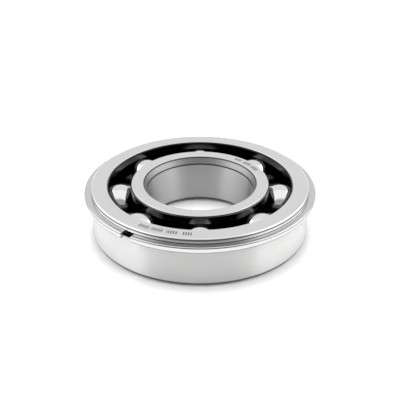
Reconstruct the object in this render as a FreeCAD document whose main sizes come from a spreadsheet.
import FreeCAD, Part
import math
import os
import Sketcher

# Open single row deep groove ball bearing with a snap ring in its outer ring.
# Frame: origin on the bearing's axis at the middle of its width, +Z out of the snap ring side.
# Each sub-part is one piece of the real bearing, and each size is bound to the sheet.

BALL_COUNT = 8
BALL_STEP = 360 / BALL_COUNT

SIZES = {
    # boundary dimensions
    "bore_dia": 35.0,
    "outside_dia": 72.0,
    "ring_width": 17.0,
    "corner_round": 1.4,
    # lead at the upper end of the bore, longer than it is wide, with its outer edge eased
    "lead_width": 1.2,
    "lead_depth": 2.5,
    "lead_round": 0.4,
    # balls and raceways
    "ball_dia": 13.494,
    "running_gap": 0.03,
    "conformity": 0.52,
    "outer_race_depth": 3.3,
    "inner_race_depth": 3.0,
    "land_chamfer": 0.5,
    # snap ring groove, measured from the upper face and from the outside surface,
    # and the smaller round on the corner that is left above it
    "snap_side_round": 0.8,
    "groove_edge": 1.6,
    "groove_depth": 1.6,
    # snap ring, with its play above, below and inside it in the groove
    "snap_thickness": 2.0,
    "snap_play": 0.1,
    "snap_stand_out": 2.2,
    "snap_gap": 3.6,
    "snap_gap_angle": 234.0,
    "snap_round": 0.45,
    # crown cage: the floor is below a pocket, and a prong's wall is between a pocket and a slot
    "cage_thickness": 4.6,
    "cage_floor": 1.003,
    "pocket_gap": 0.15,
    "prong_rise": 3.2,
    "prong_wall": 1.44,
    "prong_slot_drop": 1.6,
    "core_dia": 2.8,
    "core_depth": 3.4,
    "cage_round": 0.5,
}

doc = FreeCAD.newDocument("ball_bearing")
sheet = doc.addObject("Spreadsheet::Sheet", "sizes")
for row, (alias, value) in enumerate(SIZES.items(), start=1):
    sheet.set(f"A{row}", alias)
    sheet.set(f"B{row}", str(value))
    sheet.setAlias(f"B{row}", alias)
doc.recompute()

# Sizes that follow from the driving ones, as expressions on the sheet.
BALL_RADIUS = "sizes.ball_dia / 2"
PITCH_RADIUS = "(sizes.bore_dia + sizes.outside_dia) / 4"
HALF_WIDTH = "sizes.ring_width / 2"
BORE_RADIUS = "sizes.bore_dia / 2"
OUTSIDE_RADIUS = "sizes.outside_dia / 2"
LEAD_RADIUS = f"{BORE_RADIUS} + sizes.lead_width"
LEAD_FOOT = f"{HALF_WIDTH} - sizes.lead_depth"
RACE_RADIUS = "sizes.conformity * sizes.ball_dia"
OUTER_RACE_BOTTOM = f"({PITCH_RADIUS} + {BALL_RADIUS} + sizes.running_gap)"
INNER_RACE_BOTTOM = f"({PITCH_RADIUS} - {BALL_RADIUS} - sizes.running_gap)"
OUTER_LAND_RADIUS = f"{OUTER_RACE_BOTTOM} - sizes.outer_race_depth"
INNER_LAND_RADIUS = f"{INNER_RACE_BOTTOM} + sizes.inner_race_depth"
GROOVE_TOP = f"{HALF_WIDTH} - sizes.groove_edge"
GROOVE_FLOOR = f"{OUTSIDE_RADIUS} - sizes.groove_depth"
GROOVE_LOW = f"{GROOVE_TOP} - sizes.snap_thickness - 2 * sizes.snap_play"
SNAP_MIDDLE = f"{GROOVE_TOP} - sizes.snap_play - sizes.snap_thickness / 2"
CAGE_INSIDE = f"{PITCH_RADIUS} - sizes.cage_thickness / 2"
CAGE_OUTSIDE = f"{PITCH_RADIUS} + sizes.cage_thickness / 2"
POCKET_RADIUS = f"({BALL_RADIUS} + sizes.pocket_gap)"
CAGE_UNDERSIDE = f"-({POCKET_RADIUS} + sizes.cage_floor)"
SLOT_HALF_WIDTH = f"({PITCH_RADIUS} * sin({BALL_STEP / 2} deg) - {POCKET_RADIUS} - sizes.prong_wall)"
ON_AXIS = "0"


def size(expression):
    """The value of an expression on the sheet, in millimetres or as a plain number."""
    found = sheet.evalExpression(expression)
    return float(getattr(found, "Value", found))


def new_body(node):
    body = doc.addObject("PartDesign::Body", node)
    body.Label = node
    return body


def origin_item(body, role):
    return next(item for item in body.Origin.OriginFeatures if item.Role == role)


def new_sketch(body, name, plane="XZ_Plane"):
    sketch = body.newObject("Sketcher::SketchObject", name)
    sketch.AttachmentSupport = [(origin_item(body, plane), "")]
    sketch.MapMode = "FlatFace"
    return sketch


def place_point(sketch, geometry, point, across, up):
    """Hold one point of a sketch at two expressions, measured from the sketch's origin.

    A place of ON_AXIS holds the point on the sketch's own axis instead.
    """
    for kind, expression, axis in (("DistanceX", across, -2), ("DistanceY", up, -1)):
        if expression == ON_AXIS:
            sketch.addConstraint(Sketcher.Constraint("PointOnObject", geometry, point, axis))
            continue
        rule = Sketcher.Constraint(kind, -1, 1, geometry, point, size(expression))
        index = sketch.addConstraint(rule)
        sketch.setExpression(f"Constraints[{index}]", expression)


def draw_polygon(sketch, corners):
    """A closed outline of straight lines through corners given as pairs of expressions."""
    points = [FreeCAD.Vector(size(across), size(up), 0) for across, up in corners]
    count = len(points)
    for index in range(count):
        sketch.addGeometry(Part.LineSegment(points[index], points[(index + 1) % count]))
    for index in range(count):
        sketch.addConstraint(Sketcher.Constraint("Coincident", index, 2, (index + 1) % count, 1))
    for index, (across, up) in enumerate(corners):
        place_point(sketch, index, 1, across, up)


def draw_rectangle(sketch, left, right, low, high):
    draw_polygon(sketch, [(left, low), (right, low), (right, high), (left, high)])


def draw_circle(sketch, across, up, radius):
    centre = FreeCAD.Vector(size(across), size(up), 0)
    circle = sketch.addGeometry(Part.Circle(centre, FreeCAD.Vector(0, 0, 1), size(radius)))
    place_point(sketch, circle, 3, across, up)
    index = sketch.addConstraint(Sketcher.Constraint("Radius", circle, size(radius)))
    sketch.setExpression(f"Constraints[{index}]", radius)


def draw_half_disc(sketch, across, radius):
    """A half disc, outwards of an upright straight side, which is the sketch's first edge."""
    middle = FreeCAD.Vector(size(across), 0, 0)
    reach = size(radius)
    low = middle - FreeCAD.Vector(0, reach, 0)
    high = middle + FreeCAD.Vector(0, reach, 0)
    side = sketch.addGeometry(Part.LineSegment(high, low))
    arc = sketch.addGeometry(Part.Arc(low, middle + FreeCAD.Vector(reach, 0, 0), high))
    sketch.addConstraint(Sketcher.Constraint("Coincident", side, 2, arc, 1))
    sketch.addConstraint(Sketcher.Constraint("Coincident", arc, 2, side, 1))
    sketch.addConstraint(Sketcher.Constraint("PointOnObject", arc, 3, side))
    place_point(sketch, arc, 3, across, ON_AXIS)
    place_point(sketch, side, 2, across, f"-{radius}")


def draw_slot(sketch, half_width, floor, top):
    """An upright slot centred on the sketch's own vertical axis, with a round floor."""
    reach, low, high = size(half_width), size(floor), size(top)
    spring = low + reach
    corners = [(-reach, spring), (-reach, high), (reach, high), (reach, spring)]
    points = [FreeCAD.Vector(across, up, 0) for across, up in corners]
    left, lid, right = (sketch.addGeometry(Part.LineSegment(points[i], points[i + 1])) for i in range(3))
    circle = Part.Circle(FreeCAD.Vector(0, spring, 0), FreeCAD.Vector(0, 0, 1), reach)
    arc = sketch.addGeometry(Part.ArcOfCircle(circle, math.pi, 2 * math.pi))
    sketch.addConstraint(Sketcher.Constraint("Coincident", left, 2, lid, 1))
    sketch.addConstraint(Sketcher.Constraint("Coincident", lid, 2, right, 1))
    sketch.addConstraint(Sketcher.Constraint("Tangent", left, 1, arc, 1))
    sketch.addConstraint(Sketcher.Constraint("Tangent", right, 2, arc, 2))
    sketch.addConstraint(Sketcher.Constraint("Vertical", left))
    sketch.addConstraint(Sketcher.Constraint("Vertical", right))
    place_point(sketch, lid, 1, f"-{half_width}", top)
    sketch.addConstraint(Sketcher.Constraint("Horizontal", lid))
    place_point(sketch, arc, 3, ON_AXIS, f"{floor} + {half_width}")


def turn(body, kind, name, sketch, axis=None):
    """A Revolution or a Groove of a sketch, a full turn about the bearing's axis unless told."""
    feature = body.newObject(f"PartDesign::{kind}", name)
    feature.Profile = sketch
    feature.ReferenceAxis = axis or (origin_item(body, "Z_Axis"), [""])
    feature.Angle = 360
    doc.recompute()
    return feature


def circle_edges(shape, radius, heights):
    """The names of a shape's full or part circles of one radius about Z at the given heights."""
    names = []
    for number, edge in enumerate(shape.Edges, start=1):
        curve = edge.Curve
        if not isinstance(curve, Part.Circle) or abs(abs(curve.Axis.z) - 1) > 1e-6:
            continue
        on_axis = math.hypot(curve.Center.x, curve.Center.y) < 1e-6
        at_height = any(abs(curve.Center.z - height) < 1e-4 for height in heights)
        if on_axis and at_height and abs(curve.Radius - radius) < 1e-4:
            names.append(f"Edge{number}")
    return names


def dress(body, kind, name, edges, amount):
    """A Fillet or a Chamfer on named edges of the body's last feature."""
    base = body.Tip
    feature = body.newObject(f"PartDesign::{kind}", name)
    feature.Base = (base, edges)
    feature.setExpression("Radius" if kind == "Fillet" else "Size", amount)
    doc.recompute()
    return feature


def dress_ring(body, rounds, land_radius):
    """Round a ring's corners, given as (name, radius, height, round), and break its lands' edges."""
    for name, radius, height, amount in rounds:
        corner = circle_edges(body.Shape, size(radius), (size(height),))
        dress(body, "Fillet", name, corner, amount)
    faces = (-size(HALF_WIDTH), size(HALF_WIDTH))
    lands = circle_edges(body.Shape, size(land_radius), faces)
    dress(body, "Chamfer", "land_chamfers", lands, "sizes.land_chamfer")


def outer_ring():
    body = new_body("outer_ring")
    section = new_sketch(body, "outer_section")
    draw_rectangle(section, OUTER_LAND_RADIUS, OUTSIDE_RADIUS, f"-{HALF_WIDTH}", HALF_WIDTH)
    turn(body, "Revolution", "outer_blank", section)

    race = new_sketch(body, "outer_race_section")
    draw_circle(race, f"{OUTER_RACE_BOTTOM} - {RACE_RADIUS}", "0", RACE_RADIUS)
    turn(body, "Groove", "outer_race", race)

    slot = new_sketch(body, "snap_groove_section")
    beyond = f"{OUTSIDE_RADIUS} + sizes.groove_depth"
    draw_rectangle(slot, GROOVE_FLOOR, beyond, GROOVE_LOW, GROOVE_TOP)
    turn(body, "Groove", "snap_groove", slot)

    rounds = [
        ("lower_corner", OUTSIDE_RADIUS, f"-{HALF_WIDTH}", "sizes.corner_round"),
        ("upper_corner", OUTSIDE_RADIUS, HALF_WIDTH, "sizes.snap_side_round"),
    ]
    dress_ring(body, rounds, OUTER_LAND_RADIUS)
    return body


def inner_ring():
    body = new_body("inner_ring")
    section = new_sketch(body, "inner_section")
    corners = [
        (BORE_RADIUS, f"-{HALF_WIDTH}"),
        (INNER_LAND_RADIUS, f"-{HALF_WIDTH}"),
        (INNER_LAND_RADIUS, HALF_WIDTH),
        (LEAD_RADIUS, HALF_WIDTH),
        (BORE_RADIUS, LEAD_FOOT),
    ]
    draw_polygon(section, corners)
    turn(body, "Revolution", "inner_blank", section)

    race = new_sketch(body, "inner_race_section")
    draw_circle(race, f"{INNER_RACE_BOTTOM} + {RACE_RADIUS}", "0", RACE_RADIUS)
    turn(body, "Groove", "inner_race", race)

    rounds = [
        ("lower_corner", BORE_RADIUS, f"-{HALF_WIDTH}", "sizes.corner_round"),
        ("lead_top", LEAD_RADIUS, HALF_WIDTH, "sizes.lead_round"),
    ]
    dress_ring(body, rounds, INNER_LAND_RADIUS)
    return body


def snap_ring():
    """A flat split ring, seated in the groove with a little play, its gap on +X before it is turned."""
    body = new_body("snap_ring")
    inside = f"{GROOVE_FLOOR} + sizes.snap_play"
    outside = f"{OUTSIDE_RADIUS} + sizes.snap_stand_out"
    section = new_sketch(body, "snap_section")
    draw_rectangle(section, inside, outside, "-sizes.snap_thickness / 2", "sizes.snap_thickness / 2")
    turn(body, "Revolution", "snap_blank", section)

    rims = (-size("sizes.snap_thickness / 2"), size("sizes.snap_thickness / 2"))
    edges = circle_edges(body.Shape, size(outside), rims) + circle_edges(body.Shape, size(inside), rims)
    dress(body, "Fillet", "snap_rounds", edges, "sizes.snap_round")

    gap = new_sketch(body, "snap_gap_outline", "XY_Plane")
    beyond = f"{outside} + sizes.snap_stand_out"
    draw_rectangle(gap, f"{BORE_RADIUS}", beyond, "-sizes.snap_gap / 2", "sizes.snap_gap / 2")
    cut = body.newObject("PartDesign::Pocket", "snap_gap_cut")
    cut.Profile = gap
    cut.Type = 1
    cut.Midplane = True
    doc.recompute()

    body.setExpression("Placement.Base.z", SNAP_MIDDLE)
    body.setExpression("Placement.Rotation.Angle", "sizes.snap_gap_angle * 1 deg")
    return body


def ball_cage():
    """A moulded crown: a band below the balls, with pairs of prongs that clip over each ball."""
    body = new_body("ball_cage")
    section = new_sketch(body, "cage_section")
    draw_rectangle(section, CAGE_INSIDE, CAGE_OUTSIDE, CAGE_UNDERSIDE, "sizes.prong_rise")
    turn(body, "Revolution", "cage_blank", section)

    rims = (size(CAGE_UNDERSIDE),)
    shape = body.Shape
    edges = circle_edges(shape, size(CAGE_INSIDE), rims) + circle_edges(shape, size(CAGE_OUTSIDE), rims)
    dress(body, "Fillet", "cage_rounds", edges, "sizes.cage_round")

    # One ball pocket, turned about an upright line through the ball's centre.
    pocket_section = new_sketch(body, "pocket_section")
    draw_half_disc(pocket_section, PITCH_RADIUS, POCKET_RADIUS)
    pocket = turn(body, "Groove", "pocket", pocket_section, (pocket_section, ["Edge1"]))

    # One slot between two prongs, half a step round from the pocket.
    slot_outline = new_sketch(body, "prong_slot_outline", "YZ_Plane")
    half_step = FreeCAD.Rotation(FreeCAD.Vector(0, 1, 0), BALL_STEP / 2)
    slot_outline.AttachmentOffset = FreeCAD.Placement(FreeCAD.Vector(), half_step)
    above = f"sizes.prong_rise + 2 * {SLOT_HALF_WIDTH}"
    draw_slot(slot_outline, SLOT_HALF_WIDTH, "-sizes.prong_slot_drop", above)
    slot = body.newObject("PartDesign::Pocket", "prong_slot")
    slot.Profile = slot_outline
    slot.Type = 1
    slot.Reversed = True
    doc.recompute()

    # One blind core hole up into the web under that slot, which keeps the moulding's wall even.
    core_outline = new_sketch(body, "core_outline", "XY_Plane")
    core_outline.setExpression("AttachmentOffset.Base.z", CAGE_UNDERSIDE)
    turned = f"{BALL_STEP / 2} deg"
    across = f"{PITCH_RADIUS} * cos({turned})"
    draw_circle(core_outline, across, f"{PITCH_RADIUS} * sin({turned})", "sizes.core_dia / 2")
    core = body.newObject("PartDesign::Pocket", "core")
    core.Profile = core_outline
    core.setExpression("Length", "sizes.core_depth")
    core.Reversed = True
    doc.recompute()

    pattern = body.newObject("PartDesign::PolarPattern", "pockets_and_slots")
    pattern.Originals = [pocket, slot, core]
    pattern.Axis = (origin_item(body, "Z_Axis"), [""])
    pattern.Angle = 360
    pattern.Occurrences = BALL_COUNT
    body.Tip = pattern
    doc.recompute()
    return body


def balls():
    """One sphere in each cage pocket, the first on +X."""
    made = []
    for index in range(BALL_COUNT):
        ball = doc.addObject("Part::Sphere", f"ball_{index + 1}")
        ball.Label = f"ball_{index + 1}"
        ball.setExpression("Radius", BALL_RADIUS)
        angle = f"{index * BALL_STEP} deg"
        ball.setExpression("Placement.Base.x", f"{PITCH_RADIUS} * cos({angle})")
        ball.setExpression("Placement.Base.y", f"{PITCH_RADIUS} * sin({angle})")
        made.append(ball)
    return made


pieces = [outer_ring(), inner_ring(), snap_ring(), ball_cage()] + balls()
doc.recompute()

failed = [item.Label for item in doc.Objects if {"Invalid", "Error"} & set(item.State)]
if failed:
    raise RuntimeError(f"these objects did not recompute: {failed}")
for piece in pieces:
    if piece.Shape.isNull() or not piece.Shape.isValid() or len(piece.Shape.Solids) != 1:
        raise RuntimeError(f"{piece.Label} is not one valid solid")

os.makedirs("parts", exist_ok=True)
for piece in pieces:
    piece.Shape.exportStep(f"parts/{piece.Label}.step")
    box = piece.Shape.BoundBox
    print(f"{piece.Label}: {piece.Shape.Volume:.1f} mm3, z {box.ZMin:.2f} to {box.ZMax:.2f}")
